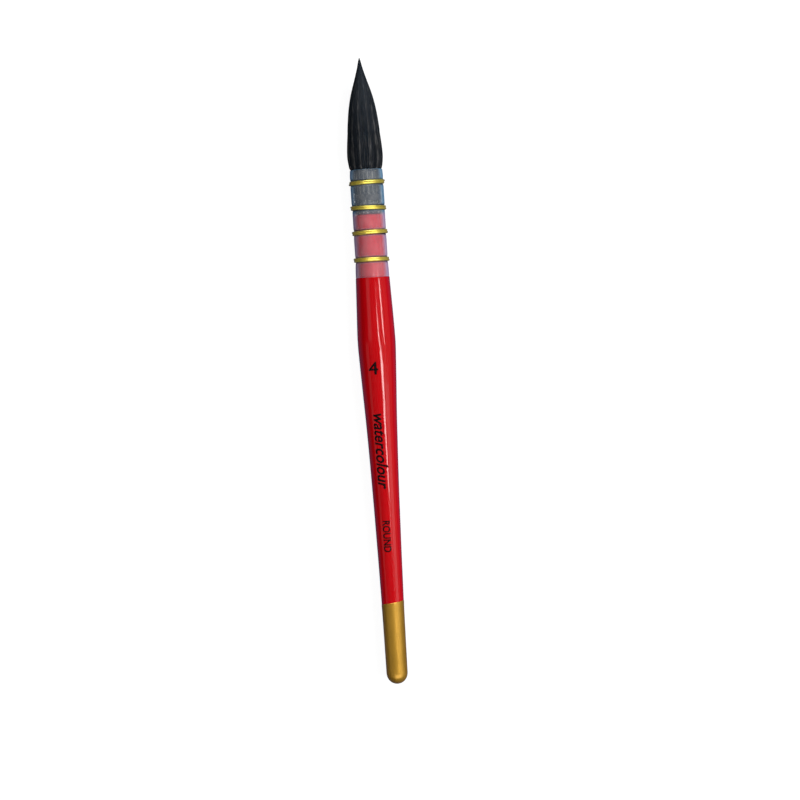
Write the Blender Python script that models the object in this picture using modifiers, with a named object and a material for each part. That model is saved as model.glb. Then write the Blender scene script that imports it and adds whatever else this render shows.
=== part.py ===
"""A size 4 quill mop, a round watercolour brush, lying on its side.

The brush lies along +X with the point of its hair at +X, and the widest part of its handle
rests on z = 0. Every piece is turned about the brush's axis, so each is drawn along its own
local Z and hung on an empty that lays the whole brush down. All sizes below are in
millimetres, and heights are distances along the axis from the butt of the handle.
"""

import math

import bmesh
import bpy

MM = 0.001
SEGMENTS = 24  # flats round a turned piece; one of them faces the table
ARC_STEPS = 8  # straight pieces in each arc of an outline
TOUCHING_GAP = 0.3  # between pieces that touch
WIRE_GAP = 0.15  # between a wire and the groove it is pulled into

# Overall heights
TOTAL_LENGTH = 175.6
SHOULDER = 113.6  # the handle's shoulder, where the quill's lower edge sits
TENON_END = 131.6
QUILL_MOUTH = 144.1

# Handle: rounded butt, slow taper, a swelling behind the quill. Each station is height, radius.
BUTT_ROUNDING = 3.0
DIP_EDGE = 23.0
DIP_THICKNESS = 0.3
SWELL_RADIUS = 5.27
SWELL_LOW, SWELL_HIGH = 92.0, 98.5  # straight between these, so that it rests on a flat there
HANDLE_STATIONS = (
    (BUTT_ROUNDING, 2.92),
    (DIP_EDGE, 3.10),
    (51.7, 3.65),
    (71.8, 4.27),
    (85.0, 4.85),
    (SWELL_LOW, SWELL_RADIUS),
    (SWELL_HIGH, SWELL_RADIUS),
    (106.0, 4.96),
    (SHOULDER, 4.68),
)

# Quill: a clear sleeve that holds the hair and the handle's tenon
QUILL_RADIUS = 4.65
QUILL_BORE = 3.95
QUILL_LIP = 0.2  # rounding of the edge at each end
GROOVE_RADIUS = 4.25

# Wire bindings: two turns side by side, their ends twisted into a short tail
WIRE_RADIUS = 0.3
WIRE_HEIGHTS = (140.7, 133.5, 126.6, 119.0)  # from the hair towards the handle
TAIL_RADIUS = 0.4
TAIL_LENGTH = 3.6
TAIL_BELOW = 50.0  # degrees below the horizontal, on the -Y side

# Hair: bound root, belly and point. Each station is height, radius.
HAIR_STATIONS = (
    (QUILL_MOUTH, 4.55),
    (147.9, 4.97),
    (155.3, 4.47),
    (161.1, 3.80),
    (165.3, 2.92),
    (169.5, 1.67),
    (173.0, 0.64),
    (TOTAL_LENGTH, 0.0),
)
ROOT_RADIUS = QUILL_BORE - TOUCHING_GAP
CEMENT_DEPTH = 1.6  # resin between the tenon and the cut roots of the hair
BELLY_PIVOT = QUILL_MOUTH  # the hair bends about a line across the quill's mouth
BELLY_RIM = 147.9
POINT_PIVOT = 157.8
POINT_RIM = 161.1

# Thread that binds the hair's root
THREAD_TURNS = 5
THREAD_PITCH = 0.4
THREAD_START = 135.3
THREAD_INNER = 3.2
THREAD_OUTER = 3.6


# ---------------------------------------------------------------- outlines

def radius_at(stations, height):
    """Radius of a smooth curve through the stations: cubic pieces with shared slopes."""
    last = len(stations) - 1

    def slope(i):
        low, high = max(i - 1, 0), min(i + 1, last)
        rise = stations[high][1] - stations[low][1]
        return rise / (stations[high][0] - stations[low][0])

    i = 0
    while i < last - 1 and height > stations[i + 1][0]:
        i += 1
    (h0, r0), (h1, r1) = stations[i], stations[i + 1]
    span = h1 - h0
    if r0 == r1:
        return r0
    t = min(max((height - h0) / span, 0.0), 1.0)
    keep, move = 2 * t**3 - 3 * t**2 + 1, t**3 - 2 * t**2 + t
    slope0 = 0.0 if i > 0 and stations[i - 1][1] == r0 else slope(i)
    slope1 = 0.0 if i + 2 <= last and stations[i + 2][1] == r1 else slope(i + 1)
    return r0 * keep + r1 * (1 - keep) + span * (slope0 * move + slope1 * (t**3 - t**2))


def side(stations, top, bottom, spacing):
    """Points down the outer side of a turned shape, from height top to height bottom."""
    count = max(1, round((top - bottom) / spacing))
    heights = [top + (bottom - top) * i / count for i in range(count + 1)]
    return [(radius_at(stations, h), h) for h in heights]


def arc(centre, radius, start, end):
    """Points on an arc in the outline's plane. Angles are in degrees from +X towards +Z."""
    points = []
    for i in range(ARC_STEPS + 1):
        angle = math.radians(start + (end - start) * i / ARC_STEPS)
        points.append((centre[0] + radius * math.cos(angle), centre[1] + radius * math.sin(angle)))
    return points


def rim_height(pivot, sphere, low, high):
    """Height at which the hair's outer side is the length sphere from the pivot on the axis."""
    for _ in range(40):
        middle = (low + high) / 2
        if math.hypot(radius_at(HAIR_STATIONS, middle), middle - pivot) < sphere:
            low = middle
        else:
            high = middle
    return (low + high) / 2


def ball_arc(pivot, sphere, rim):
    """The ball-shaped end of a hair piece, from the axis out to its rim."""
    at_rim = math.degrees(math.asin(radius_at(HAIR_STATIONS, rim) / sphere))
    points = arc((0.0, pivot), sphere, 90.0, 90.0 - at_rim)
    points[0] = (0.0, pivot + sphere)
    return points


# ---------------------------------------------------------------- objects

def remove_everything():
    for obj in list(bpy.data.objects):
        bpy.data.objects.remove(obj, do_unlink=True)


def new_collection(name):
    collection = bpy.data.collections.new(name)
    bpy.context.scene.collection.children.link(collection)
    return collection


def new_material(name, colour, roughness, metallic=0.0, alpha=1.0):
    material = bpy.data.materials.new(name)
    material.use_nodes = True
    shader = material.node_tree.nodes["Principled BSDF"]
    shader.inputs["Base Color"].default_value = (*colour, 1.0)
    shader.inputs["Roughness"].default_value = roughness
    shader.inputs["Metallic"].default_value = metallic
    shader.inputs["Alpha"].default_value = alpha
    material.diffuse_color = (*colour, alpha)
    return material


def new_empty(name, parent=None, height=0.0):
    empty = bpy.data.objects.new(name, None)
    parts.objects.link(empty)
    empty.parent = parent
    empty.location = (0.0, 0.0, height * MM)
    return empty


def settled_mesh(obj, name):
    """The object's mesh with its modifiers applied, shaded smooth with sharp corners kept."""
    bpy.context.view_layer.update()
    shown = obj.evaluated_get(bpy.context.evaluated_depsgraph_get())
    mesh = bpy.data.meshes.new_from_object(shown)
    mesh.name = name
    mesh.shade_smooth()
    mesh.set_sharp_from_angle(angle=math.radians(35.0))
    return mesh


def turned(name, outline, material, parent, origin=0.0, closed=False):
    """A solid turned from an outline of (radius, height), outer side from top to bottom.

    A closed outline makes a ring or sleeve. The object's origin is on the axis at height
    origin, and parent is an empty there.
    """
    profile = bpy.data.meshes.new(name)
    points = [(radius * MM, 0.0, (height - origin) * MM) for radius, height in outline]
    edges = [(i, i + 1) for i in range(len(points) - 1)]
    if closed:
        edges.append((len(points) - 1, 0))
    profile.from_pydata(points, edges, [])
    obj = bpy.data.objects.new(name, profile)
    parts.objects.link(obj)
    screw = obj.modifiers.new("turn", "SCREW")
    screw.axis = "Z"
    screw.angle = 2 * math.pi
    screw.steps = screw.render_steps = SEGMENTS
    screw.use_merge_vertices = True
    screw.merge_threshold = 0.000001
    mesh = settled_mesh(obj, name)
    obj.modifiers.clear()
    obj.data = mesh
    bpy.data.meshes.remove(profile)
    obj.data.materials.append(material)
    obj.parent = parent
    obj.rotation_euler.z = math.pi / SEGMENTS  # a flat, not an edge, faces the table
    return obj


def make_handle():
    """Turned wood: a slim butt cut back under its dip, a swelling, and a tenon."""
    cut_back = DIP_THICKNESS + TOUCHING_GAP
    dip_step = DIP_EDGE + TOUCHING_GAP
    outline = [(0.0, TENON_END), (ROOT_RADIUS - 0.3, TENON_END), (ROOT_RADIUS, TENON_END - 0.3)]
    outline.append((ROOT_RADIUS, SHOULDER))
    outline += side(HANDLE_STATIONS, SHOULDER, SWELL_HIGH, 3.0)
    outline += side(HANDLE_STATIONS, SWELL_LOW, dip_step, 5.0)
    under_dip = side(HANDLE_STATIONS, dip_step, BUTT_ROUNDING, 10.0)
    outline += [(radius - cut_back, height) for radius, height in under_dip]
    outline += butt_curve(cut_back)[1:]
    return turned("handle", outline, red_lacquer, brush_axis)


def butt_curve(inset):
    """The rounded butt, or a surface that is inset from it, down to the axis."""
    width = radius_at(HANDLE_STATIONS, BUTT_ROUNDING) - inset
    depth = BUTT_ROUNDING - inset
    points = []
    for radius, height in arc((0.0, 0.0), 1.0, 0.0, -90.0):
        points.append((width * radius, BUTT_ROUNDING + depth * height))
    points[-1] = (0.0, inset)
    return points


def make_gold_dip():
    """A skin of metallic lacquer over the butt, open towards the handle."""
    outer = side(HANDLE_STATIONS, DIP_EDGE, BUTT_ROUNDING, 10.0) + butt_curve(0.0)[1:]
    under = side(HANDLE_STATIONS, DIP_EDGE, BUTT_ROUNDING, 10.0)
    inner = [(radius - DIP_THICKNESS, height) for radius, height in under]
    inner += butt_curve(DIP_THICKNESS)[1:]
    return turned("gold_dip", inner[::-1] + outer, gold_lacquer, brush_axis)


def make_quill_tube():
    """A thin sleeve with rounded ends and four grooves where the wires pinch it."""
    top, bottom = QUILL_MOUTH, SHOULDER + TOUCHING_GAP
    half_groove = 2 * WIRE_RADIUS + WIRE_GAP
    outline = [(QUILL_RADIUS - QUILL_LIP, top), (QUILL_RADIUS, top - QUILL_LIP)]
    for height in WIRE_HEIGHTS:
        outline.append((QUILL_RADIUS, height + half_groove + 0.5))
        outline.append((GROOVE_RADIUS, height + half_groove))
        outline.append((GROOVE_RADIUS, height - half_groove))
        outline.append((QUILL_RADIUS, height - half_groove - 0.5))
    outline += [(QUILL_RADIUS, bottom + QUILL_LIP), (QUILL_RADIUS - QUILL_LIP, bottom)]
    outline += [(QUILL_BORE, bottom), (QUILL_BORE, top)]
    return turned("quill_tube", outline, clear_quill, brush_axis, closed=True)


def make_tail(height):
    """The twisted ends of a wire, bent down against the quill towards the handle."""
    lift = QUILL_RADIUS + WIRE_GAP + TAIL_RADIUS
    route = [(lift - 0.25, 0.0), (lift, -1.0), (lift, -TAIL_LENGTH)]
    curve = bpy.data.curves.new("tail", "CURVE")
    curve.dimensions = "3D"
    curve.bevel_depth = TAIL_RADIUS * MM
    curve.bevel_resolution = 2
    curve.use_fill_caps = True
    spline = curve.splines.new("POLY")
    spline.points.add(len(route) - 1)
    for point, (radius, along) in zip(spline.points, route):
        point.co = (radius * MM, 0.0, along * MM, 1.0)
    drawn = bpy.data.objects.new("tail", curve)
    guides.objects.link(drawn)
    mesh = settled_mesh(drawn, "tail")
    weld(mesh)
    bpy.data.objects.remove(drawn)
    tail = bpy.data.objects.new("tail", mesh)
    guides.objects.link(tail)
    tail.parent = brush_axis
    tail.location.z = height * MM
    # Local +X points at the table and local -Y stays -Y, so this swings it up on that side.
    tail.rotation_euler.z = math.radians(TAIL_BELOW - 90.0)
    tail.hide_render = True
    tail.display_type = "WIRE"
    return tail


def weld(mesh):
    """Joins a curve's loose end caps to its sides."""
    form = bmesh.new()
    form.from_mesh(mesh)
    bmesh.ops.remove_doubles(form, verts=form.verts, dist=0.000001)
    form.to_mesh(mesh)
    form.free()


def make_wire_ring(number, height):
    """A two-turn binding of brass wire with its twisted tail."""
    centre = GROOVE_RADIUS + WIRE_GAP + WIRE_RADIUS
    offset = WIRE_RADIUS * 0.95  # the turns are pressed together
    valley = math.degrees(math.acos(offset / WIRE_RADIUS))
    upper = arc((centre, offset), WIRE_RADIUS, 270.0 - valley, -90.0 + valley)
    lower = arc((centre, -offset), WIRE_RADIUS, 90.0 - valley, -270.0 + valley)
    outline = [(r, height + z) for r, z in upper[:-1] + lower[:-1]]
    name = f"wire_ring_{number}"
    ring = turned(name, outline, brass_wire, brush_axis, closed=True)
    joined = ring.modifiers.new("tail", "BOOLEAN")
    joined.operation = "UNION"
    joined.solver = "EXACT"
    joined.object = make_tail(height)
    return ring


def make_root_cement():
    """The plug of resin that the hair's roots are set in."""
    low, high = TENON_END + TOUCHING_GAP, TENON_END + TOUCHING_GAP + CEMENT_DEPTH
    outline = [(0.0, high), (ROOT_RADIUS, high), (ROOT_RADIUS, low), (0.0, low)]
    return turned("root_cement", outline, amber_resin, brush_axis)


def make_hair_root():
    """Hair bound in the quill, waisted under its thread, with a ball-shaped upper end."""
    base = TENON_END + 2 * TOUCHING_GAP + CEMENT_DEPTH
    shelf = QUILL_MOUTH + TOUCHING_GAP
    waist = THREAD_INNER - TOUCHING_GAP
    waist_low = THREAD_START - TOUCHING_GAP
    waist_high = THREAD_START + THREAD_TURNS * THREAD_PITCH + TOUCHING_GAP
    sphere = math.hypot(radius_at(HAIR_STATIONS, BELLY_RIM), BELLY_RIM - BELLY_PIVOT)
    outline = ball_arc(BELLY_PIVOT, sphere, BELLY_RIM)
    outline += side(HAIR_STATIONS, BELLY_RIM, shelf, 1.2)[1:]
    outline += [(ROOT_RADIUS, shelf), (ROOT_RADIUS, waist_high), (waist, waist_high)]
    outline += [(waist, waist_low), (ROOT_RADIUS, waist_low), (ROOT_RADIUS, base), (0.0, base)]
    return turned("hair_root", outline, dark_hair, brush_axis)


def make_root_binding():
    """Five turns of thread round the hair's root, drawn as one ribbed band."""
    outline = []
    for turn in reversed(range(THREAD_TURNS)):
        middle = THREAD_START + THREAD_PITCH * (turn + 0.5)
        for angle in (60.0, 20.0, -20.0, -60.0):
            rise, across = math.cos(math.radians(angle)), math.sin(math.radians(angle))
            radius = THREAD_OUTER - THREAD_PITCH / 2 * (1.0 - rise)
            outline.append((radius, middle + THREAD_PITCH / 2 * across))
    outline += [(THREAD_INNER, THREAD_START)]
    outline += [(THREAD_INNER, THREAD_START + THREAD_TURNS * THREAD_PITCH)]
    return turned("root_binding", outline, waxed_thread, brush_axis, closed=True)


def make_hair_belly():
    """The full middle of the hair: a cup over the root and a ball under the point."""
    root_sphere = math.hypot(radius_at(HAIR_STATIONS, BELLY_RIM), BELLY_RIM - BELLY_PIVOT)
    cup = root_sphere + TOUCHING_GAP
    cup_rim = rim_height(BELLY_PIVOT, cup, BELLY_RIM, POINT_PIVOT)
    sphere = math.hypot(radius_at(HAIR_STATIONS, POINT_RIM), POINT_RIM - POINT_PIVOT)
    outline = ball_arc(POINT_PIVOT, sphere, POINT_RIM)
    outline += side(HAIR_STATIONS, POINT_RIM, cup_rim, 1.6)[1:]
    outline += ball_arc(BELLY_PIVOT, cup, cup_rim)[::-1][1:]
    return turned("hair_belly", outline, dark_hair, belly_axis, origin=BELLY_PIVOT)


def make_hair_point():
    """The tapered end of the hair, cupped over the belly."""
    ball = math.hypot(radius_at(HAIR_STATIONS, POINT_RIM), POINT_RIM - POINT_PIVOT)
    cup = ball + TOUCHING_GAP
    cup_rim = rim_height(POINT_PIVOT, cup, POINT_RIM, TOTAL_LENGTH)
    outline = side(HAIR_STATIONS, TOTAL_LENGTH, cup_rim, 1.1)
    outline += ball_arc(POINT_PIVOT, cup, cup_rim)[::-1][1:]
    return turned("hair_point", outline, dark_hair, point_axis, origin=POINT_PIVOT)


# ---------------------------------------------------------------- the brush

remove_everything()
parts = new_collection("quill_mop_brush")
guides = new_collection("guides")

red_lacquer = new_material("red_lacquer", (0.50, 0.004, 0.010), 0.12)
gold_lacquer = new_material("gold_lacquer", (0.50, 0.30, 0.06), 0.34, metallic=0.8)
clear_quill = new_material("clear_quill", (0.62, 0.62, 0.68), 0.18, alpha=0.4)
brass_wire = new_material("brass_wire", (0.72, 0.52, 0.12), 0.22, metallic=1.0)
amber_resin = new_material("amber_resin", (0.55, 0.42, 0.25), 0.30)
waxed_thread = new_material("waxed_thread", (0.035, 0.028, 0.024), 0.75)
dark_hair = new_material("dark_hair", (0.018, 0.016, 0.016), 0.50)

# The empties: the brush's axis, and the two lines across it that the hair bends about
brush_axis = new_empty("brush_axis")
brush_axis.location = (-TOTAL_LENGTH / 2 * MM, 0.0, SWELL_RADIUS * math.cos(math.pi / SEGMENTS) * MM)
brush_axis.rotation_euler.y = math.pi / 2
belly_axis = new_empty("belly_axis", brush_axis, BELLY_PIVOT)
point_axis = new_empty("point_axis", belly_axis, POINT_PIVOT - BELLY_PIVOT)

make_handle()
make_gold_dip()
make_quill_tube()
for ring_number, ring_height in enumerate(WIRE_HEIGHTS, start=1):
    make_wire_ring(ring_number, ring_height)
make_root_cement()
make_hair_root()
make_root_binding()
make_hair_belly()
make_hair_point()
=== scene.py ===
"""Looks for a size 4 quill mop: a round watercolour brush lying on a pale table.

The brush lies along +X, the point of its hair at +X. Places on it are given as a height along
its axis from the butt, a radius, and a turn about the axis: 0 is up, and it grows towards the
right of the picture. Lengths in this script are millimetres until place() turns them into the
frame's metres.
"""

import math

import bmesh
import bpy
import numpy as np
from mathutils import Matrix, Vector


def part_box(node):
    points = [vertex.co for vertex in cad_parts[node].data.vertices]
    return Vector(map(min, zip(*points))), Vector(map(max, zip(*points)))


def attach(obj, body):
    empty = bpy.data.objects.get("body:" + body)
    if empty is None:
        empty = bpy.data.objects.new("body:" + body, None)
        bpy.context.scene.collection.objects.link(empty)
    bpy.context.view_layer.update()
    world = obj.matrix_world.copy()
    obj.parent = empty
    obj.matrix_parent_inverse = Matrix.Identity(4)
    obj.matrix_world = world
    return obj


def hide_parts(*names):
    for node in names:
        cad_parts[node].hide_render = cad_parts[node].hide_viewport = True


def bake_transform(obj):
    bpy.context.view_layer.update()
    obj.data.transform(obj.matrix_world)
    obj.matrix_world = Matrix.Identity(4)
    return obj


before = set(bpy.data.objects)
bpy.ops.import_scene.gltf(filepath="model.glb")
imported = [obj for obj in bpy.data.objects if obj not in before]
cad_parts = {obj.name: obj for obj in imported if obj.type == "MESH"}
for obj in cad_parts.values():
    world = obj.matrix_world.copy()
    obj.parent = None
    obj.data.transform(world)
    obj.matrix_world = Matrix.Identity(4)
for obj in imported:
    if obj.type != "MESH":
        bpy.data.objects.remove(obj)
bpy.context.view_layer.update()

MM = 0.001
BODY = "brush"
BUTT_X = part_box("gold_dip")[0].x
TIP_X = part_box("hair_point")[1].x
AXIS_Z = (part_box("handle")[0].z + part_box("handle")[1].z) / 2


def height_of(x):
    """Height on the brush, in millimetres, of a place in the frame."""
    return (x - BUTT_X) / MM


# Heights and radii that the pieces share
LENGTH = height_of(TIP_X)
SHOULDER = height_of(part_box("quill_tube")[0].x)
MOUTH = height_of(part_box("quill_tube")[1].x)
TENON_END = height_of(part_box("handle")[1].x)
DIP_EDGE = height_of(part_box("gold_dip")[1].x)
THREAD_LOW = height_of(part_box("root_binding")[0].x)
THREAD_HIGH = height_of(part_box("root_binding")[1].x)
BUTT_ROUNDING = 3.0
SWELL_RADIUS = 5.31
TENON_RADIUS = 3.93
QUILL_RADIUS = 4.65
QUILL_BORE = 3.98
SEGMENTS = 144  # points in a ring of the handle, dip and quill
ROOT_SEGMENTS = 288  # finer, for the ridges of the hair
CEMENT_SEGMENTS = 192
CORE_SEGMENTS = 256
HANDLE_STATIONS = (
    (BUTT_ROUNDING, 2.93),
    (DIP_EDGE, 3.12),
    (51.7, 3.70),
    (71.8, 4.31),
    (85.0, 4.89),
    (93.5, 5.26),
    (96.0, SWELL_RADIUS),
    (98.5, 5.27),
    (106.0, 5.03),
    (SHOULDER, 4.74),
)
HAIR_STATIONS = (
    (MOUTH, 4.66),
    (147.6, 4.99),
    (155.3, 4.47),
    (161.1, 3.80),
    (165.3, 2.92),
    (169.5, 1.67),
    (173.0, 0.68),
    (174.7, 0.32),
    (LENGTH, 0.0),
)
WIRE_HEIGHTS = (140.45, 133.35, 126.5, 118.87)

# Where the two halves of the hair meet: the lower strands end and the upper ones start round these heights
# The halves overlap there
SEAM = 155.6
LOWER_ENDS = (154.6, 157.4)
UPPER_START = 152.8


# ---------------------------------------------------------------- shape helpers

def radius_at(stations, height):
    """Radius of a smooth curve through stations of (height, radius), for one height or many."""
    h = np.array([s[0] for s in stations])
    r = np.array([s[1] for s in stations])
    slope = np.gradient(r, h)
    slope[1:-1] = (r[2:] - r[:-2]) / (h[2:] - h[:-2])
    x = np.clip(np.asarray(height, float), h[0], h[-1])
    i = np.clip(np.searchsorted(h, x) - 1, 0, len(h) - 2)
    span = h[i + 1] - h[i]
    t = (x - h[i]) / span
    low, high = 2 * t**3 - 3 * t**2 + 1, 3 * t**2 - 2 * t**3
    ends = (t**3 - 2 * t**2 + t) * slope[i] + (t**3 - t**2) * slope[i + 1]
    return np.maximum(r[i] * low + r[i + 1] * high + span * ends, 0.0)


def place(height, radius, turn):
    """Points in the frame, in metres, from heights, radii and turns of any shape."""
    height, radius, turn = np.broadcast_arrays(height, radius, turn)
    x = BUTT_X + height * MM
    y = -radius * np.sin(turn) * MM
    z = AXIS_Z + radius * np.cos(turn) * MM
    return np.stack([x, y, z], axis=-1)


def smooth_step(low, high, value):
    t = np.clip((value - low) / (high - low), 0.0, 1.0)
    return t * t * (3 - 2 * t)


def ripple(turn, seed, count=7, slowest=1, fastest=9):
    """An even wave round the axis, about -1 to 1, with no join."""
    pick = np.random.RandomState(seed)
    total = 0.0
    for _ in range(count):
        beats = pick.randint(slowest, fastest + 1)
        total = total + np.cos(beats * turn + pick.uniform(0, 2 * math.pi))
    return total / math.sqrt(count) / 1.4


def new_piece(name, points, faces, material, smooth=True):
    mesh = bpy.data.meshes.new(name)
    mesh.from_pydata(points, [], faces)
    mesh.update()
    if smooth:
        mesh.shade_smooth()
    mesh.materials.append(material)
    obj = bpy.data.objects.new(name, mesh)
    bpy.context.scene.collection.objects.link(obj)
    return obj


def tidy_surface(obj, sharp_degrees=None):
    """Welds the poles, faces the surface outward, and keeps its corners crisp."""
    form = bmesh.new()
    form.from_mesh(obj.data)
    bmesh.ops.remove_doubles(form, verts=form.verts, dist=1e-7)
    bmesh.ops.recalc_face_normals(form, faces=form.faces)
    form.to_mesh(obj.data)
    form.free()
    obj.data.shade_smooth()
    if sharp_degrees:
        obj.data.set_sharp_from_angle(angle=math.radians(sharp_degrees))
    return obj


def ring_turns(segments):
    """The turns of the points of one ring."""
    return np.linspace(0, 2 * math.pi, segments, endpoint=False)


def turned(name, rows, material, closed=False, sharp=40.0):
    """A turned surface from rows of (heights, radii). Each row is one ring of points."""
    heights = np.array([row[0] for row in rows])
    radii = np.array([row[1] for row in rows])
    rings, segments = heights.shape
    points = place(heights, radii, ring_turns(segments)).reshape(-1, 3)
    faces = []
    for i in range(rings if closed else rings - 1):
        low, high = i * segments, (i + 1) % rings * segments
        for j in range(segments):
            k = (j + 1) % segments
            faces.append((low + j, low + k, high + k, high + j))
    return tidy_surface(new_piece(name, points.tolist(), faces, material), sharp)


def tubes(paths, radii, sides, outward=None, closed_loop=False):
    """Points and faces of many tubes. paths is (tubes, samples, 3) in metres, radii in metres."""
    count, samples = paths.shape[:2]
    if closed_loop:
        along = np.roll(paths, -1, axis=1) - np.roll(paths, 1, axis=1)
    else:
        along = np.gradient(paths, axis=1)
    along /= np.linalg.norm(along, axis=2, keepdims=True)
    if outward is None:
        outward = paths - np.array([0.0, 0.0, AXIS_Z])
        outward[..., 0] = 0.0
    across = np.cross(along, outward)
    across /= np.linalg.norm(across, axis=2, keepdims=True)
    outward = np.cross(across, along)
    angle = np.arange(sides) * 2 * math.pi / sides
    ring = (outward[:, :, None, :] * np.cos(angle)[:, None]
            + across[:, :, None, :] * np.sin(angle)[:, None])
    points = paths[:, :, None, :] + ring * radii[:, :, None, None]
    index = np.arange(count * samples * sides).reshape(count, samples, sides)
    here = index if closed_loop else index[:, :-1]
    there = np.roll(index, -1, axis=1) if closed_loop else index[:, 1:]
    quads = np.stack([here, np.roll(here, -1, axis=2), np.roll(there, -1, axis=2), there], axis=-1)
    faces = quads.reshape(-1, 4).tolist()
    if not closed_loop:
        faces += index[:, 0, ::-1].tolist() + index[:, -1].tolist()
    return points.reshape(-1, 3), faces


def write_attribute(obj, name, values):
    """One number for each point, for a material to read."""
    attribute = obj.data.attributes.new(name, "FLOAT", "POINT")
    attribute.data.foreach_set("value", np.asarray(values, np.float32))


def vertex_heights(obj):
    """The height on the brush of each point of a piece."""
    return (np.array([v.co.x for v in obj.data.vertices]) - BUTT_X) / MM


# ---------------------------------------------------------------- material helpers

class Recipe:
    """A Principled material whose nodes are added with short calls."""

    def __init__(self, name, colour, roughness, **sockets):
        self.material = bpy.data.materials.new(name)
        self.material.use_nodes = True
        self.tree = self.material.node_tree
        self.shader = self.tree.nodes["Principled BSDF"]
        self.shader.inputs["Base Color"].default_value = (*colour, 1.0)
        self.shader.inputs["Roughness"].default_value = roughness
        for key, value in sockets.items():
            self.shader.inputs[key.replace("_", " ").title().replace("Ior", "IOR")].default_value = value
        self.place = self.add("ShaderNodeTexCoord").outputs["Object"]

    def add(self, kind, **settings):
        node = self.tree.nodes.new(kind)
        for key, value in settings.items():
            setattr(node, key, value)
        return node

    def link(self, source, node, socket):
        self.tree.links.new(source, node.inputs[socket])

    def stretched(self, along=1.0, across=1.0):
        """Coordinates in millimetres, stretched along the brush by a scale below 1."""
        mapping = self.add("ShaderNodeMapping")
        mapping.inputs["Scale"].default_value = (along / MM, across / MM, across / MM)
        self.link(self.place, mapping, "Vector")
        return mapping.outputs["Vector"]

    def noise(self, scale, detail=3.0, along=1.0, across=1.0, roughness=0.5):
        node = self.add("ShaderNodeTexNoise")
        node.inputs["Scale"].default_value = scale
        node.inputs["Detail"].default_value = detail
        node.inputs["Roughness"].default_value = roughness
        self.link(self.stretched(along, across), node, "Vector")
        return node.outputs["Fac"]

    def attribute(self, name):
        return self.add("ShaderNodeAttribute", attribute_name=name).outputs["Fac"]

    def ranged(self, source, low, high, from_low=0.0, from_high=1.0, kind="LINEAR"):
        node = self.add("ShaderNodeMapRange", interpolation_type=kind)
        for key, value in (("From Min", from_low), ("From Max", from_high),
                           ("To Min", low), ("To Max", high)):
            node.inputs[key].default_value = value
        self.link(source, node, "Value")
        return node.outputs["Result"]

    def colours(self, source, *stops):
        """A colour ramp from (position, colour) stops."""
        node = self.add("ShaderNodeValToRGB")
        ramp = node.color_ramp
        while len(ramp.elements) < len(stops):
            ramp.elements.new(0.5)
        for element, (position, colour) in zip(ramp.elements, stops):
            element.position = position
            element.color = (*colour, 1.0)
        self.link(source, node, "Fac")
        return node.outputs["Color"]

    def maths(self, operation, first, second):
        node = self.add("ShaderNodeMath", operation=operation)
        for i, value in enumerate((first, second)):
            if isinstance(value, (int, float)):
                node.inputs[i].default_value = value
            else:
                self.link(value, node, i)
        return node.outputs["Value"]

    def mixed(self, factor, first, second, blend="MIX"):
        node = self.add("ShaderNodeMix", data_type="RGBA", blend_type=blend)
        for socket, value in ((node.inputs[0], factor), (node.inputs[6], first), (node.inputs[7], second)):
            if isinstance(value, tuple):
                socket.default_value = (*value, 1.0)
            elif isinstance(value, float):
                socket.default_value = value
            else:
                self.tree.links.new(value, socket)
        return node.outputs[2]

    def bump(self, source, depth, strength=1.0, under=None):
        """A bump of the given depth in millimetres, on top of another if under is given."""
        node = self.add("ShaderNodeBump")
        node.inputs["Strength"].default_value = strength
        node.inputs["Distance"].default_value = depth * MM
        self.link(source, node, "Height")
        if under is not None:
            self.link(under, node, "Normal")
        return node.outputs["Normal"]

    def drive(self, **sockets):
        for key, source in sockets.items():
            self.link(source, self.shader, key.replace("_", " ").title())
        return self


# ---------------------------------------------------------------- materials

def red_lacquer():
    """Deep red gloss over turned wood: slow shifts of tone, faint grain, a matt tenon."""
    r = Recipe("red_lacquer", (0.66, 0.0006, 0.0045), 0.14, ior=1.45, coat_weight=0.9,
               coat_roughness=0.04, coat_ior=1.46)
    tone = r.noise(0.12, detail=4.0, along=0.35)
    colour = r.colours(tone, (0.25, (0.655, 0.0004, 0.0030)), (0.75, (0.735, 0.0008, 0.0055)))
    grain = r.ranged(r.noise(1.1, detail=5.0, along=0.05), 0.93, 1.0, 0.3, 0.7)
    colour = r.mixed(1.0, colour, r.colours(grain, (0.0, (0.0, 0.0, 0.0)), (1.0, (1.0, 1.0, 1.0))),
                     blend="MULTIPLY")
    bare = r.attribute("bare")
    rough = r.maths("ADD", r.ranged(r.noise(0.9, detail=4.0), 0.11, 0.17, 0.3, 0.7),
                    r.maths("MULTIPLY", bare, 0.6))
    coat = r.ranged(bare, 0.9, 0.0)
    peel = r.bump(r.noise(0.55, detail=2.0, along=0.5), 0.008)
    r.drive(base_color=colour, roughness=rough, normal=peel, coat_weight=coat)
    beads = r.bump(r.noise(1.9, detail=1.0, along=0.8), 0.0022, under=peel)
    r.link(beads, r.shader, "Coat Normal")
    return r.material


def gold_lacquer():
    """Metallic paint: fine flakes, a faint sag along the butt, a satin top."""
    r = Recipe("gold_lacquer", (0.74, 0.40, 0.05), 0.36, metallic=0.62, ior=1.45, coat_weight=0.55,
               coat_roughness=0.26, coat_ior=1.5)
    flakes = r.noise(14.0, detail=2.0)
    colour = r.colours(flakes, (0.3, (0.61, 0.310, 0.022)), (0.52, (0.71, 0.372, 0.034)),
                       (0.72, (0.85, 0.500, 0.075)))
    patches = r.noise(0.35, detail=3.0, along=0.6)
    rough = r.ranged(patches, 0.31, 0.41, 0.3, 0.7)
    sag = r.bump(patches, 0.02)
    grit = r.bump(flakes, 0.004, under=sag)
    r.drive(base_color=colour, roughness=rough, normal=grit)
    return r.material


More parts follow.
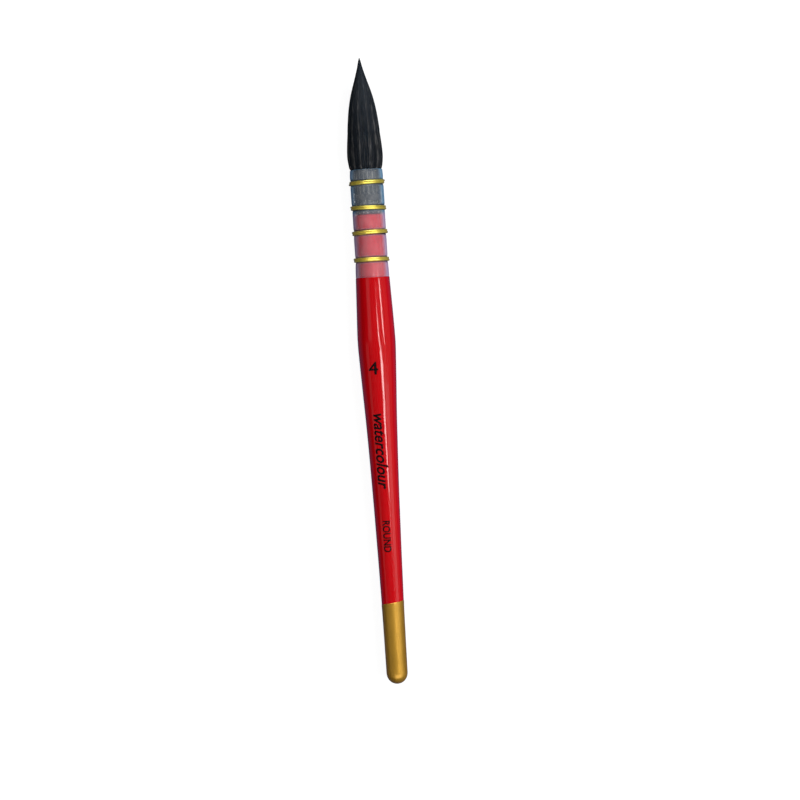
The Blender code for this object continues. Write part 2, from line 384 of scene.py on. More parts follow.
def quill_plastic():
    """Milky clear plastic. Most light goes straight through, but little does at a slant.

    It is warmer where the red tenon fills it. In the grooves that the wires press it is painted near black
    and less clear: painted shade. Towards its outline a cool tint is painted in: a painted reflection.
    """
    r = Recipe("quill_plastic", (0.5, 0.55, 0.66), 0.40, ior=1.46)
    haze = r.noise(0.5, detail=5.0, along=0.6)
    streaks = r.noise(1.6, detail=4.0, along=0.12)
    slant = r.add("ShaderNodeLayerWeight")
    slant.inputs["Blend"].default_value = 0.5
    facing = slant.outputs["Facing"]
    # Painted reflection: rim mixes a cool blue tint into the colour towards the outline, over the hair and
    # over the wood
    rim = r.ranged(facing, 0.0, 1.0, 0.16, 0.62, kind="SMOOTHSTEP")
    over_hair = r.colours(haze, (0.3, (0.33, 0.41, 0.51)), (0.7, (0.56, 0.60, 0.65)))
    over_hair = r.mixed(rim, over_hair, (0.17, 0.36, 0.56))
    over_wood = r.colours(haze, (0.3, (0.82, 0.42, 0.52)), (0.7, (0.96, 0.54, 0.62)))
    over_wood = r.mixed(rim, over_wood, (0.58, 0.40, 0.62))
    colour = r.mixed(r.attribute("over_wood"), over_hair, over_wood)
    # Painted shade: near black, and less clear, in the grooves beside the wires
    groove_shade = r.attribute("groove_shade")
    r.drive(base_color=r.mixed(groove_shade, colour, (0.012, 0.012, 0.020)),
            roughness=r.ranged(streaks, 0.34, 0.46, 0.3, 0.7),
            normal=r.bump(r.noise(0.8, detail=3.0, along=0.25), 0.02))
    edge = r.ranged(facing, 0.0, 0.68, 0.22, 0.62, kind="SMOOTHSTEP")
    body = r.ranged(r.maths("ADD", haze, r.maths("MULTIPLY", streaks, 0.6)), 0.20, 0.32, 0.5, 1.1)
    veil = r.maths("ADD", r.maths("ADD", body, edge), r.maths("MULTIPLY", groove_shade, 0.6))
    veil = r.maths("MULTIPLY", veil, r.ranged(r.attribute("inner"), 1.0, 0.0))
    through = r.add("ShaderNodeBsdfTransparent")
    both = r.add("ShaderNodeMixShader")
    r.link(veil, both, 0)
    r.link(through.outputs[0], both, 1)
    r.link(r.shader.outputs[0], both, 2)
    r.link(both.outputs[0], r.tree.nodes["Material Output"], "Surface")
    return r.material


def brass():
    """Bright drawn wire with a little tarnish."""
    r = Recipe("brass_wire", (0.95, 0.76, 0.13), 0.30, metallic=0.64, ior=1.5)
    tarnish = r.noise(0.45, detail=3.0)
    colour = r.colours(tarnish, (0.25, (0.90, 0.73, 0.10)), (0.40, (0.97, 0.79, 0.13)),
                       (0.75, (1.0, 0.85, 0.18)))
    r.drive(base_color=colour,
            roughness=r.ranged(tarnish, 0.34, 0.28, 0.3, 0.6))
    return r.material


def hair():
    """Near-black soft hair with a cool sheen. Each strand has its own tone, paler at its root."""
    r = Recipe("dark_hair", (0.016, 0.014, 0.013), 0.42, ior=1.5, specular_ior_level=0.12,
               sheen_weight=0.09, sheen_roughness=0.35, sheen_tint=(0.35, 0.65, 1.0, 1.0))
    tone = r.attribute("tone")
    broken = r.ranged(r.noise(2.5, detail=3.0, along=0.11, roughness=0.6), -0.32, 0.34, 0.3, 0.7)
    tone = r.maths("ADD", tone, broken)
    colour = r.colours(tone, (0.05, (0.0034, 0.0040, 0.0056)), (0.35, (0.0125, 0.0120, 0.0122)),
                       (0.60, (0.050, 0.047, 0.044)), (1.0, (0.24, 0.23, 0.225)))
    along = r.attribute("along")
    colour = r.mixed(r.ranged(along, 0.0, 0.85, 0.20, 0.95), colour, (0.0088, 0.0125, 0.0180))
    colour = r.mixed(0.18, colour, (0.0150, 0.0310, 0.0530))
    r.drive(base_color=colour, roughness=r.ranged(tone, 0.36, 0.52))
    return r.material


def root_hair():
    """The same hair where it is bound and glued: matted, in fine lines along the brush."""
    r = Recipe("root_hair", (0.02, 0.018, 0.017), 0.55)
    lines = r.noise(2.2, detail=4.0, along=0.05)
    colour = r.colours(lines, (0.38, (0.004, 0.005, 0.007)), (0.52, (0.030, 0.029, 0.028)),
                       (0.64, (0.26, 0.25, 0.22)))
    r.drive(base_color=colour, roughness=r.ranged(lines, 0.42, 0.65),
            normal=r.bump(lines, 0.08))
    return r.material


def resin():
    """Cloudy cement, dark with glued hair, with pale flecks and bubbles."""
    r = Recipe("root_resin", (0.2, 0.18, 0.17), 0.3, ior=1.5)
    cloud = r.noise(1.5, detail=5.0)
    colour = r.colours(cloud, (0.40, (0.035, 0.032, 0.038)), (0.54, (0.13, 0.11, 0.105)),
                       (0.60, (0.34, 0.31, 0.30)), (0.68, (0.78, 0.76, 0.74)))
    r.drive(base_color=colour, roughness=r.ranged(cloud, 0.22, 0.5), normal=r.bump(cloud, 0.12))
    return r.material


def thread():
    """Dark waxed thread, its plies running slantwise."""
    r = Recipe("binding_thread", (0.035, 0.03, 0.025), 0.7, sheen_weight=0.2)
    plies = r.add("ShaderNodeTexWave", wave_type="BANDS", bands_direction="DIAGONAL")
    plies.inputs["Scale"].default_value = 2.2
    plies.inputs["Distortion"].default_value = 1.5
    r.link(r.stretched(), plies, "Vector")
    colour = r.colours(plies.outputs["Fac"], (0.2, (0.016, 0.013, 0.011)), (0.8, (0.060, 0.050, 0.042)))
    r.drive(base_color=colour, roughness=r.ranged(plies.outputs["Fac"], 0.8, 0.6),
            normal=r.bump(plies.outputs["Fac"], 0.05))
    return r.material


def ink():
    """Black print, slightly thin in places."""
    r = Recipe("print_ink", (0.006, 0.002, 0.003), 0.5, specular_ior_level=0.08)
    cover = r.noise(2.4, detail=4.0)
    r.drive(base_color=r.colours(cover, (0.3, (0.022, 0.002, 0.003)), (0.55, (0.005, 0.002, 0.003))),
            roughness=r.ranged(cover, 0.6, 0.45))
    return r.material


def table_top():
    """Pale paper-white surface with a trace of tooth, bright enough to lose most shadows."""
    r = Recipe("table_top", (0.5, 0.5, 0.5), 0.9, specular_ior_level=0.0)
    tooth = r.noise(0.4, detail=6.0)
    r.drive(base_color=r.colours(tooth, (0.3, (0.24, 0.24, 0.245)), (0.7, (0.26, 0.26, 0.26))),
            normal=r.bump(tooth, 0.02))
    r.shader.inputs["Emission Color"].default_value = (1.0, 1.0, 1.0, 1.0)
    r.shader.inputs["Emission Strength"].default_value = 0.90
    return r.material


# ---------------------------------------------------------------- handle and butt

SHOULDER_LIP = 0.12  # rounding of the shoulder's edge
UNDER_DIP = 0.14  # how far the wood lies below its outline where the dip covers it
DIP_DEPTH = 0.10  # how far the dip's inside lies below the handle's outline
DIP_PROUD = 0.03  # how far its outside stands above it


def lacquer_wave(height, turn):
    """How far hand-dipped lacquer stands off the turned wood, in millimetres."""
    wave = np.cos(2 * turn + height / 9.0) + 0.8 * np.cos(turn * 3 - height / 5.5 + 1.0)
    wave = wave + 0.6 * np.cos(turn + height / 3.1 + 2.0) + 0.5 * np.cos(4 * turn + height / 2.3)
    return 0.006 * wave


def dip_edge(turn):
    """Height of the dip's edge round the butt: it leans, and wavers a little."""
    return DIP_EDGE + 0.5 * np.sin(turn - 0.3) - 0.12 + 0.13 * ripple(turn, 11, fastest=6)


def make_handle(material):
    """Turned wood: tenon, rounded shoulder, swelling and taper, thinner under the dip."""
    turn = ring_turns(SEGMENTS)
    rows = []
    for radius, height in ((0.0, 0.0), (0.72, 0.0), (0.88, -0.1), (0.97, -0.3), (1.0, -0.7)):
        rows.append((TENON_END + height + 0.05 * ripple(turn, 3), TENON_RADIUS * radius + 0 * turn))
    for height in np.linspace(TENON_END - 2.0, SHOULDER + 0.1, 12):
        rows.append((height + 0 * turn, TENON_RADIUS + 0.012 * ripple(turn + height, 4)))
    shoulder_radius = radius_at(HANDLE_STATIONS, SHOULDER - SHOULDER_LIP)
    for angle in np.linspace(90, 0, 5):
        a = math.radians(angle)
        radius = shoulder_radius - SHOULDER_LIP + SHOULDER_LIP * math.cos(a)
        rows.append((SHOULDER - SHOULDER_LIP + SHOULDER_LIP * math.sin(a) + 0 * turn, radius + 0 * turn))
    low = dip_edge(turn) - 0.1
    for step in np.linspace(0, 1, 150)[1:]:
        height = SHOULDER - SHOULDER_LIP + (low - SHOULDER + SHOULDER_LIP) * step
        rows.append((height, radius_at(HANDLE_STATIONS, height) + lacquer_wave(height, turn)))
    for step in np.linspace(0, 1, 14):
        height = low - 0.8 + (BUTT_ROUNDING - low + 0.8) * step
        rows.append((height, radius_at(HANDLE_STATIONS, height) - UNDER_DIP))
    rows += butt_rows(turn, -UNDER_DIP, 10)
    obj = turned("handle_turned", rows, material)
    along = vertex_heights(obj)
    write_attribute(obj, "bare", smooth_step(SHOULDER + 0.1, SHOULDER + 0.4, along))
    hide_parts("handle")
    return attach(obj, BODY)


def butt_rows(turn, proud, count):
    """Rings round the rounded butt, down to the axis."""
    width = radius_at(HANDLE_STATIONS, BUTT_ROUNDING) + proud
    depth = BUTT_ROUNDING + proud
    rows = []
    for a in np.linspace(0, math.pi / 2, count + 1)[1:]:
        rows.append((BUTT_ROUNDING - depth * math.sin(a) + 0 * turn, width * math.cos(a) + 0 * turn))
    rows[-1] = (rows[-1][0], 0 * turn)
    return rows


def make_gold_dip(material):
    """The dipped butt: a thin skin with an uneven, slightly beaded edge."""
    turn = ring_turns(SEGMENTS)
    edge = dip_edge(turn)
    rows = []
    for back, proud in ((0.35, -0.10), (0.05, -0.09), (0.0, -0.01), (0.04, 0.03), (0.16, 0.055),
                        (0.4, 0.065), (0.8, 0.05), (1.5, 0.035)):
        height = edge - back
        rows.append((height, radius_at(HANDLE_STATIONS, height) + proud))
    for height in np.linspace(DIP_EDGE - 3.0, BUTT_ROUNDING, 22):
        wave = 0.006 * ripple(turn + height / 4.0, 12, fastest=4)
        rows.append((height + 0 * turn, radius_at(HANDLE_STATIONS, height) + DIP_PROUD + wave))
    rows += butt_rows(turn, 0.0, 14)
    inside = butt_rows(turn, -DIP_DEPTH, 10)[::-1]
    for height in np.linspace(BUTT_ROUNDING, DIP_EDGE - 1.8, 10):
        inside.append((height + 0 * turn, radius_at(HANDLE_STATIONS, height) - DIP_DEPTH + 0 * turn))
    rows += inside
    obj = turned("gold_dip_coat", rows, material, closed=True)
    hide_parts("gold_dip")
    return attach(obj, BODY)


# ---------------------------------------------------------------- quill and wires

def pinch(height):
    """How far the wires pull the quill in, in millimetres."""
    total = 0.0
    for wire in WIRE_HEIGHTS:
        total = total + np.exp(-((height - wire) / 0.75) ** 2)
    return 0.26 * total


def sleeve_radius(height):
    """The sleeve's outside: fullest round the hair, drawn in a little over the handle."""
    drawn_in = 0.10 * smooth_step(135.0, 131.0, height) - 0.12 * smooth_step(118.5, 114.5, height)
    return QUILL_RADIUS - drawn_in - 0.10 * smooth_step(142.0, MOUTH, height)


def make_quill(material):
    """The sleeve: rounded lips, pinched under each wire, swelling a little between them."""
    turn = ring_turns(SEGMENTS)
    wall_heights = np.linspace(MOUTH - 0.25, SHOULDER + 0.2, 150)
    rows = []
    for back, inset in ((0.0, 0.42), (0.0, 0.22), (0.05, 0.09), (0.14, 0.02)):
        cut = MOUTH - back + 0.04 * ripple(turn, 21, fastest=5)
        rows.append((cut, sleeve_radius(MOUTH) - inset + 0 * turn))
    for height in wall_heights:
        wave = 0.02 * ripple(turn + height / 6.0, 22, fastest=4)
        rows.append((height + 0 * turn, sleeve_radius(height) - pinch(height) + wave))
    for back, inset in ((0.06, 0.03), (0.0, 0.12), (0.0, 0.45)):
        rows.append((SHOULDER + back + 0 * turn, sleeve_radius(SHOULDER) - inset + 0 * turn))
    for height in np.linspace(SHOULDER + 0.2, MOUTH - 0.2, 80):
        rows.append((height + 0 * turn, QUILL_BORE - 0.2 * pinch(height) + 0 * turn))
    obj = turned("quill_sleeve", rows, material, closed=True, sharp=55.0)
    along = vertex_heights(obj)
    # Painted shade: how far into the grooves beside the wires each point lies, for the material to darken
    write_attribute(obj, "groove_shade", np.clip(sum(np.exp(-((along - w) / 0.98) ** 6)
                                               for w in WIRE_HEIGHTS), 0, 1))
    out = np.hypot([v.co.y for v in obj.data.vertices],
                   [v.co.z - AXIS_Z for v in obj.data.vertices]) / MM
    write_attribute(obj, "inner", 1 - smooth_step(QUILL_BORE + 0.05, QUILL_BORE + 0.12, out))
    write_attribute(obj, "over_wood", smooth_step(TENON_END + 0.8, TENON_END - 0.8, along))
    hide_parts("quill_tube")
    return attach(obj, BODY)


STRAND = 0.30  # radius of one wire
RING_RADIUS = 4.70  # of the middle of a pair of wires
PAIR_SPREAD = 0.285  # from the middle of the pair to the middle of either wire
WIRE_LEANS = (0.10, -0.10, 0.14, 0.0)
WIRE_ROLLS = (0.5, 0.35, 0.2, 0.3)
WIRE_SAMPLES = 300
TUBE_SIDES = 12
TAIL_TURN = math.radians(140)  # 50 degrees below the horizontal
TAIL_LENGTH = 3.7
TAIL_TWISTS = 2.6
TAIL_SPREAD = 0.235
TAIL_STRAND = 0.24  # radius of one wire in the tail
TAIL_SAMPLES = 60


def pair(height, radius, turn, roll, spread):
    """The middles of two wires side by side, rolled over each other by an angle."""
    paths = []
    for side in (-1, 1):
        out = radius + side * spread * np.sin(roll)
        level = height + side * spread * np.cos(roll)
        paths.append(place(level, out, turn))
    return np.array(paths)


def make_wire(number, height, material, lean, roll):
    """Two wires drawn tight round the quill, twisted once underneath, with a twisted tail."""
    turn = ring_turns(WIRE_SAMPLES)
    rolled = roll * np.sin(turn + number) + 2 * math.pi * smooth_step(1.75, 4.5, turn)
    level = height + lean * np.sin(turn)
    # Where the wires lie on top of each other the pair stands a little prouder
    out = RING_RADIUS + 0.1 * np.abs(np.sin(rolled)) ** 2
    paths = pair(level, out, turn, rolled, PAIR_SPREAD)
    points, faces = tubes(paths, np.full(paths.shape[:2], STRAND * MM), TUBE_SIDES,
                          closed_loop=True)
    tail_points, tail_faces = wire_tail(height, number)
    start = len(points)
    faces += [tuple(i + start for i in face) for face in tail_faces]
    name = f"wire_twist_{number}"
    obj = new_piece(name, np.concatenate([points, tail_points]).tolist(), faces, material)
    tidy_surface(obj, 60.0)
    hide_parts(f"wire_ring_{number}")
    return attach(obj, BODY)


def wire_tail(height, number):
    """The tail: both wires twisted on, laid against the quill towards the handle and snipped."""
    t = np.linspace(0, 1, TAIL_SAMPLES)
    out = RING_RADIUS + 0.1 + 0.26 * smooth_step(0.0, 0.3, t)
    roll = 2 * math.pi * TAIL_TWISTS * t + number
    paths = []
    for side in (-1, 1):
        turn = TAIL_TURN + side * TAIL_SPREAD * np.cos(roll) / out
        paths.append(place(height - TAIL_LENGTH * t, out + side * TAIL_SPREAD * np.sin(roll), turn))
    paths = np.array(paths)
    radii = np.full(paths.shape[:2], TAIL_STRAND * MM)
    radii[:, -1] *= 0.75
    return tubes(paths, radii, TUBE_SIDES)


# ---------------------------------------------------------------- inside the quill

THREAD_TURNS = 5
THREAD_RADIUS = 0.2
THREAD_PATH_RADIUS = 3.64  # of the middle of the thread
ROOT_WAIST = 0.34  # how deep the thread draws the hair in


def make_root_bundle(material):
    """Hair bound inside the quill: fine ridges, a ragged lower end, a waist for the thread."""
    turn = ring_turns(ROOT_SEGMENTS)
    ridge = 0.035 * ripple(turn, 31, count=16, slowest=20, fastest=90)
    ragged = 0.35 * ripple(turn, 32, count=14, slowest=3, fastest=40)
    base = TENON_END + 1.15
    rows = [(base + 0.4 + 0 * turn, 0 * turn), (base + ragged, 3.3 + 0 * turn)]
    for height in np.linspace(base + 0.3, MOUTH + 0.2, 60):
        waist = ROOT_WAIST * (smooth_step(THREAD_LOW - 0.6, THREAD_LOW, height)
                       - smooth_step(THREAD_HIGH, THREAD_HIGH + 0.6, height))
        fray = ragged * (1 - smooth_step(base, base + 2.0, height))
        shift = 0.03 * ripple(turn + 0.02 * height, 33, count=10, slowest=8, fastest=30)
        rows.append((height + fray, TENON_RADIUS - 0.04 - waist + ridge + shift))
    rows.append((MOUTH + 0.3 + 0 * turn, 0 * turn))
    obj = turned("hair_root_bundle", rows, material)
    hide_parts("hair_root")
    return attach(obj, BODY)


def make_root_thread(material):
    """Five turns of thread round the waist of the root."""
    samples = THREAD_TURNS * 40
    t = np.linspace(0, 1, samples)
    height = THREAD_LOW + THREAD_RADIUS + (THREAD_HIGH - THREAD_LOW - 2 * THREAD_RADIUS) * t
    path = place(height, THREAD_PATH_RADIUS + 0 * t, 2 * math.pi * THREAD_TURNS * t)[None]
    points, faces = tubes(path, np.full((1, samples), THREAD_RADIUS * MM), 8)
    obj = tidy_surface(new_piece("root_thread", points.tolist(), faces, material), 60.0)
    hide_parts("root_binding")
    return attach(obj, BODY)


def make_root_cement(material):
    """The resin under the hair, with a lumpy rim that shows as pale flecks."""
    turn = ring_turns(CEMENT_SEGMENTS)
    low, high = TENON_END + 0.12, TENON_END + 1.3
    rim = 0.28 * ripple(turn, 41, count=14, slowest=2, fastest=30)
    rows = [(high + 0 * turn, 0 * turn), (high + 0.5 * rim, 3.3 + 0 * turn)]
    for step in np.linspace(0, 1, 8):
        bulge = 3.78 + 0.10 * math.sin(math.pi * step)
        lumps = 0.06 * ripple(turn + 3 * step, 42, count=10, slowest=6, fastest=34)
        rows.append((high + rim * (1 - step) + (low - high) * step, bulge + lumps))
    rows.append((low + 0 * turn, 0 * turn))
    obj = turned("root_cement_plug", rows, material)
    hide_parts("root_cement")
    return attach(obj, BODY)


# ---------------------------------------------------------------- hair

CLUMPS = 38  # locks that the outer strands lie in
FINE_LOCKS = 74  # bands of tone round the hair
STRANDS = 1500  # in each half
STRAND_SAMPLES = 15
STRAND_SIDES = 3


def lock_tones(turn):
    """Tone of the hair round the brush, 0 dark to 1 pale: fine locks, a few of them pale."""
    pick = np.random.RandomState(5)
    tones = pick.beta(0.9, 2.4, FINE_LOCKS)
    pale = pick.choice(FINE_LOCKS, FINE_LOCKS // 7, replace=False)
    tones[pale] = pick.uniform(0.7, 1.0, len(pale))
    where = turn / (2 * math.pi) * FINE_LOCKS
    return tones[np.floor(where).astype(int) % FINE_LOCKS]


def strand_set(seed, count, start, rise, first, last):
    """Strands that lie in locks on the hair's outline, each between its own start and end.

    They start at or a little above start, and come up from under the others over a length of
    rise. first and last are the lowest and highest height at which one may end. Returns
    heights, radii, turns, widths and tones.
    """
    pick = np.random.RandomState(seed)
    lock = pick.randint(0, CLUMPS, count)
    lock_pick = np.random.RandomState(77)
    centres = (np.arange(CLUMPS) + lock_pick.uniform(-0.32, 0.32, CLUMPS)) * 2 * math.pi / CLUMPS
    lift = lock_pick.uniform(-0.014, 0.012, CLUMPS)
    half = math.pi / CLUMPS * 1.25
    offset = pick.uniform(-1, 1, count)
    depth = pick.beta(1.0, 2.2, count) * 0.10
    ends = last - (last - first) * pick.beta(1.0, 1.7, count)
    starts = start + pick.uniform(0, 0.8, count)
    t = np.linspace(0, 1, STRAND_SAMPLES)[None, :]
    height = starts[:, None] + (ends - starts)[:, None] * t
    profile = radius_at(HAIR_STATIONS, height)
    flare = smooth_step(MOUTH - 0.2, MOUTH + 0.7, height)
    neck = 3.86 + 0.5 * smooth_step(MOUTH - 0.5, MOUTH + 0.3, height)
    profile = neck * (1 - flare) + profile * flare
    gather = 1.0 - 0.30 * smooth_step(MOUTH, LENGTH, height)
    sway = pick.uniform(-1, 1, count)[:, None] * 0.030 * np.sin(
        height / pick.uniform(3.5, 9.0, count)[:, None] + pick.uniform(0, 6.28, count)[:, None])
    turn = centres[lock][:, None] + half * offset[:, None] * gather + sway
    crown = 0.030 * (1 - offset[:, None] ** 2) * smooth_step(MOUTH + 0.5, MOUTH + 5, height)
    share = 0.965 + crown + lift[lock][:, None] - depth[:, None]
    if rise:
        share = share - 0.035 * (1 - smooth_step(start, start + rise, height))
    radius = profile * share
    width = pick.uniform(0.062, 0.098, count)[:, None] * (1 - 0.72 * smooth_step(0.45, 1.0, t))
    width = width * (0.35 + 0.65 * np.clip(profile / 3.0, 0, 1))
    tone = 0.6 * lock_tones(turn[:, 4]) + 0.4 * pick.beta(1.0, 2.6, count)
    return height, radius, turn, width, tone


def make_strands(name, node, seed, start, rise, first, last, material):
    """The outer strands of half of the hair, as thin three-sided tubes."""
    height, radius, turn, width, tone = strand_set(seed, STRANDS, start, rise, first, last)
    points, faces = tubes(place(height, radius, turn), width * MM, STRAND_SIDES)
    obj = new_piece(name, points.tolist(), faces, material)
    along = (height - MOUTH) / (LENGTH - MOUTH)
    write_attribute(obj, "tone", np.repeat(tone, STRAND_SAMPLES * STRAND_SIDES))
    write_attribute(obj, "along", np.repeat(np.clip(along, 0, 1).ravel(), STRAND_SIDES))
    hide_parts(node)
    return obj


def make_core(name, low, high, tuck_low, tuck_high, material):
    """The body of the hair under its outer strands, finely ridged; its ends tuck inward."""
    turn = ring_turns(CORE_SEGMENTS)
    ridge = ripple(turn, 51, count=24, slowest=18, fastest=80)
    rows = [(low + 0 * turn, 0 * turn)]
    for height in np.linspace(low, high, 44):
        flare = smooth_step(MOUTH - 0.1, MOUTH + 0.8, height)
        profile = 3.85 * (1 - flare) + float(radius_at(HAIR_STATIONS, height)) * flare
        share = 0.925 - 0.06 * (1 - smooth_step(low, low + tuck_low, height)) * (tuck_low > 0) \
            - 0.06 * smooth_step(high - tuck_high, high, height) * (tuck_high > 0)
        rows.append((height + 0 * turn, profile * (share + 0.008 * ridge)))
    rows.append((high + 0 * turn, 0 * turn))
    obj = turned(name, rows, material, sharp=60.0)
    y = np.array([v.co.y for v in obj.data.vertices])
    z = np.array([v.co.z for v in obj.data.vertices]) - AXIS_Z
    around = np.arctan2(-y, z)
    write_attribute(obj, "tone", 0.7 * lock_tones(around))
    write_attribute(obj, "along", np.clip(vertex_heights(obj) - MOUTH, 0, None) / (LENGTH - MOUTH))
    return obj


def make_hair(material):
    """Lower and upper hair, each a core under outer strands; the halves overlap round the seam."""
    lower = [
        make_core("hair_lower_core", MOUTH - 0.6, SEAM + 1.0, 0.0, 2.0, material),
        make_strands("hair_lower_strands", "hair_belly", 101, MOUTH - 0.9, 0.0,
                     *LOWER_ENDS, material),
    ]
    upper = [
        make_core("hair_upper_core", SEAM - 1.0, LENGTH - 1.2, 2.0, 0.0, material),
        make_strands("hair_upper_strands", "hair_point", 102, UPPER_START, 2.6,
                     LENGTH - 9.0, LENGTH - 0.05, material),
    ]
    for obj in lower:
        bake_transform(obj)
    for obj in upper:
        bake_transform(obj)


# ---------------------------------------------------------------- print

INK_FLATTENING = 0.15  # scales the thickness of the letters
INK_LIFT = 0.006  # above the lacquer
LETTER_SIZE = 5.0  # before the words are brought to their own size
LETTER_DEPTH = 0.02
LETTER_CUT = 0.25  # the letters are cut this fine, to follow the handle
# Name, words, length and width, stroke gain, slope, height, degrees of turn, reads downward
PRINTS = (
    ("print_size", "4", (2.8, 3.6), 0.06, 0.0, 88.5, -16.0, False),
    ("print_kind", "watercolour", (21.2, 3.4), 0.11, 0.30, 65.2, -8.0, True),
    ("print_shape", "ROUND", (8.8, 2.2), 0.12, 0.0, 41.4, -8.0, True),
)


def make_print(name, words, size, weight, slope, height, degrees, downward, material):
    """Plain lettering laid on the handle. Downward print reads towards the butt.

    size is its length and its width, weight what its strokes gain, and slope how far it leans.
    """
    curve = bpy.data.curves.new(name, "FONT")
    curve.body = words
    curve.size = LETTER_SIZE
    curve.align_x, curve.align_y = "CENTER", "CENTER"
    curve.extrude = LETTER_DEPTH
    curve.bevel_depth = weight
    curve.shear = slope
    curve.resolution_u = 6
    drawn = bpy.data.objects.new(name + "_flat", curve)
    bpy.context.scene.collection.objects.link(drawn)
    bpy.context.view_layer.update()
    shown = drawn.evaluated_get(bpy.context.evaluated_depsgraph_get())
    mesh = bpy.data.meshes.new_from_object(shown)
    bpy.data.objects.remove(drawn)
    for axis in (0, 1):
        values = [v.co[axis] for v in mesh.vertices]
        middle, span = (max(values) + min(values)) / 2, max(values) - min(values)
        for v in mesh.vertices:
            v.co[axis] = (v.co[axis] - middle) * size[axis] / span
    form = bmesh.new()
    form.from_mesh(mesh)
    bmesh.ops.remove_doubles(form, verts=form.verts, dist=1e-5)
    low = [min(v.co[i] for v in form.verts) for i in (0, 1)]
    high = [max(v.co[i] for v in form.verts) for i in (0, 1)]
    for axis in (0, 1):
        for cut in np.arange(low[axis] + LETTER_CUT, high[axis], LETTER_CUT):
            normal = [0.0, 0.0, 0.0]
            normal[axis] = 1.0
            at = [0.0, 0.0, 0.0]
            at[axis] = float(cut)
            bmesh.ops.bisect_plane(form, geom=form.verts[:] + form.edges[:] + form.faces[:],
                                   plane_co=at, plane_no=normal, dist=1e-5)
    for v in form.verts:
        aside, along = (v.co.y, -v.co.x) if downward else (v.co.x, v.co.y)
        surface = float(radius_at(HANDLE_STATIONS, height + along))
        around = math.radians(degrees) + aside / surface
        surface += float(lacquer_wave(height + along, around))
        v.co = place(height + along, surface + v.co.z * INK_FLATTENING + INK_LIFT, around)
    bmesh.ops.recalc_face_normals(form, faces=form.faces)
    form.to_mesh(mesh)
    form.free()
    mesh.materials.clear()
    mesh.materials.append(material)
    obj = bpy.data.objects.new(name, mesh)
    bpy.context.scene.collection.objects.link(obj)
    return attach(obj, BODY)


# ---------------------------------------------------------------- stage

VIEW_WIDTH = 0.22385  # what the picture's width spans at the brush, in metres
VIEW_TILT = math.radians(3.54)  # how far the brush leans left of the picture's upright
VIEW_OFFSET = (0.00604, -0.00824)  # picture's centre from the brush's middle, right and up
CAMERA_LENS, SENSOR = 200.0, 36.0
TUBE_DISTANCE = 0.6  # from the brush to the thin lamps
LAMP_WIDTH, LAMP_RADIANCE = 0.034, 10.0
TABLE_HALF = 8.0


def make_camera():
    """Straight down on the brush, through a long lens."""
    up = Vector((math.cos(VIEW_TILT), -math.sin(VIEW_TILT), 0.0))
    right = Vector((-math.sin(VIEW_TILT), -math.cos(VIEW_TILT), 0.0))
    camera = bpy.data.cameras.new("camera")
    camera.lens, camera.sensor_width = CAMERA_LENS, SENSOR
    obj = bpy.data.objects.new("camera", camera)
    bpy.context.scene.collection.objects.link(obj)
    middle = Vector(((BUTT_X + TIP_X) / 2, 0.0, AXIS_Z))
    centre = middle + right * VIEW_OFFSET[0] + up * VIEW_OFFSET[1]
    obj.location = centre + Vector((0.0, 0.0, VIEW_WIDTH * CAMERA_LENS / SENSOR))
    obj.rotation_euler = Matrix((right, up, (0.0, 0.0, 1.0))).transposed().to_euler()
    bpy.context.scene.camera = obj


def make_softbox(name, middle, size, radiance, side=(1.0, 0.0, 0.0), shines=True, lights=False):
    """A square-edged light that faces the brush; its first side runs along side.

    radiance is its own brightness, whatever its size. shines is whether gloss shows it, and
    lights whether it lights matt surfaces.
    """
    light = bpy.data.lights.new(name, "AREA")
    light.shape = "RECTANGLE"
    light.size, light.size_y = size
    light.energy = radiance * math.pi * size[0] * size[1]
    obj = bpy.data.objects.new(name, light)
    bpy.context.scene.collection.objects.link(obj)
    obj.location = middle
    away = (Vector(middle) - Vector((middle[0] * 0.3, 0.0, AXIS_Z))).normalized()
    side = Vector(side)
    side = (side - away * side.dot(away)).normalized()
    obj.rotation_euler = Matrix((side, away.cross(side), away)).transposed().to_euler()
    obj.visible_camera = False
    obj.visible_glossy = shines
    obj.visible_diffuse = lights


def across(degrees, distance, along=0.0):
    """A place beside the brush, degrees from overhead towards the picture's right."""
    a = math.radians(degrees)
    return Vector((along, -distance * math.sin(a), AXIS_Z + distance * math.cos(a)))


def make_tube(name, places, width, radiance):
    """A thin lamp through places of (degrees from overhead, metres along the brush)."""
    points = [across(degrees, TUBE_DISTANCE, along) for degrees, along in places]
    for i, (start, end) in enumerate(zip(points, points[1:]), start=1):
        run = end - start
        make_softbox(f"{name}_{i}", (start + end) / 2, (run.length, width), radiance, side=run)


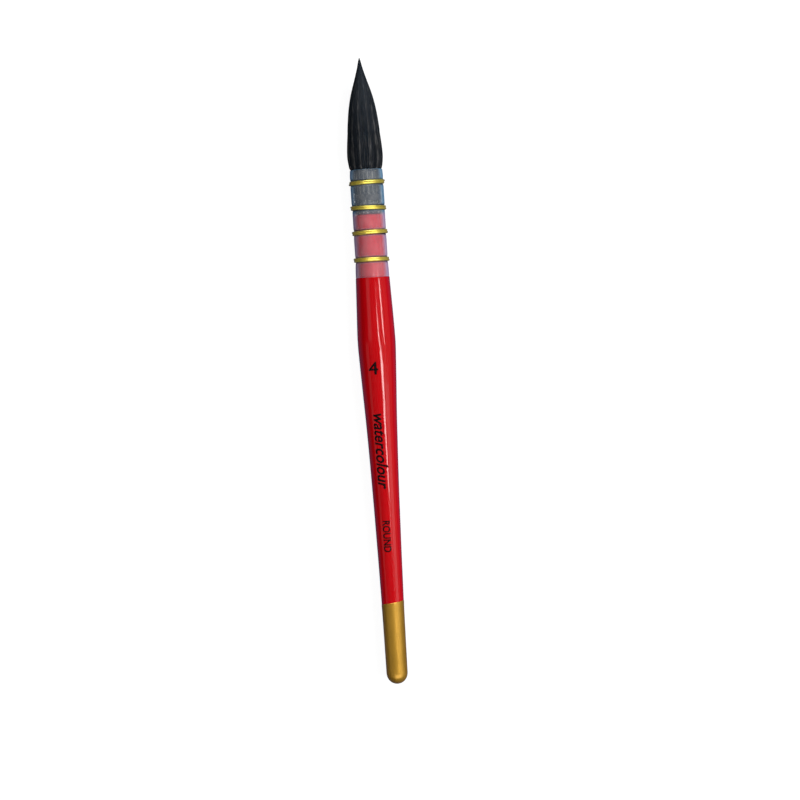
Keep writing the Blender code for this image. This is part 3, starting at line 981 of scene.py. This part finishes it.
def make_lights():
    """Soft light from the picture's right, and the windows and lamps that the gloss shows."""
    make_softbox("key", across(42, 1.1), (1.1, 0.9), 3.5, shines=False, lights=True)
    make_softbox("fill", across(-18, 1.2), (1.4, 1.4), 1.08, shines=False, lights=True)
    # Right: a high window towards the butt and a low one all along. Left: the other way round
    make_softbox("window_right", across(53, 0.56, -0.25), (0.42, 0.29), 0.66)
    make_softbox("window_low_right", across(78, 0.55), (0.9, 0.30), 0.17)
    make_softbox("window_left", across(-62, 0.55, -0.22), (0.48, 0.20), 0.17)
    make_softbox("window_high_left", across(-38, 0.56, 0.24), (0.46, 0.24), 0.24)
    # Two thin lamps: one shows from the shoulder to the swelling, one from there down
    make_tube("lamp_high", ((40.2, 0.11), (43.5, 0.069), (46.6, 0.056), (48.5, 0.002)), LAMP_WIDTH,
              LAMP_RADIANCE)
    make_tube("lamp_low", ((12.0, 0.063), (15.8, 0.033), (19.5, -0.040), (25.7, -0.055),
                           (31.0, -0.060)), LAMP_WIDTH, LAMP_RADIANCE)
    # Beyond the brush's ends, seen only by its wires, lips and butt
    for name, along, radiance in (("end_tip", 1, 5.0), ("end_butt", -1, 1.6)):
        make_softbox(name, (along * 0.42, -0.10, 0.42), (0.7, 0.34), radiance, side=(0.0, 1.0, 0.0))


def make_world():
    """Pale to the camera. To the brush, dark overhead and dim and cool towards the horizon."""
    world = bpy.data.worlds.new("studio")
    bpy.context.scene.world = world
    world.use_nodes = True
    tree = world.node_tree
    tree.nodes.clear()
    out = tree.nodes.new("ShaderNodeOutputWorld")
    both = tree.nodes.new("ShaderNodeMixShader")
    seen, lit = tree.nodes.new("ShaderNodeBackground"), tree.nodes.new("ShaderNodeBackground")
    seen.inputs["Color"].default_value = (1.0, 1.0, 1.0, 1.0)
    where = tree.nodes.new("ShaderNodeTexCoord")
    parts = tree.nodes.new("ShaderNodeSeparateXYZ")
    rise = tree.nodes.new("ShaderNodeValToRGB")
    for element, (position, colour) in zip(rise.color_ramp.elements, (
            (0.30, (0.055, 0.060, 0.13, 1.0)), (0.50, (0.006, 0.007, 0.010, 1.0)))):
        element.position, element.color = position, colour
    half = tree.nodes.new("ShaderNodeMapRange")
    half.inputs["From Min"].default_value = -1.0
    ray = tree.nodes.new("ShaderNodeLightPath")
    tree.links.new(where.outputs["Generated"], parts.inputs[0])
    tree.links.new(parts.outputs["Z"], half.inputs["Value"])
    tree.links.new(half.outputs["Result"], rise.inputs["Fac"])
    tree.links.new(rise.outputs["Color"], lit.inputs["Color"])
    tree.links.new(ray.outputs["Is Camera Ray"], both.inputs[0])
    tree.links.new(lit.outputs[0], both.inputs[1])
    tree.links.new(seen.outputs[0], both.inputs[2])
    tree.links.new(both.outputs[0], out.inputs["Surface"])


def make_table(material):
    """The pale surface that the brush lies on."""
    corners = [(x * TABLE_HALF, y * TABLE_HALF, 0.0) for x, y in ((-1, -1), (1, -1), (1, 1), (-1, 1))]
    obj = new_piece("table_top", corners, [(0, 1, 2, 3)], material, smooth=False)
    obj.visible_glossy = False
    obj.visible_diffuse = False


# ---------------------------------------------------------------- the scene

make_camera()
make_world()
make_lights()
make_table(table_top())
bpy.context.scene.view_settings.view_transform = "Standard"

make_handle(red_lacquer())
make_gold_dip(gold_lacquer())
make_quill(quill_plastic())
brass_material = brass()
for wire_number, (wire_height, wire_lean, wire_roll) in enumerate(
        zip(WIRE_HEIGHTS, WIRE_LEANS, WIRE_ROLLS), start=1):
    make_wire(wire_number, wire_height, brass_material, wire_lean, wire_roll)
make_root_cement(resin())
make_root_thread(thread())
make_root_bundle(root_hair())
make_hair(hair())
ink_material = ink()
for words_to_print in PRINTS:
    make_print(*words_to_print, ink_material)
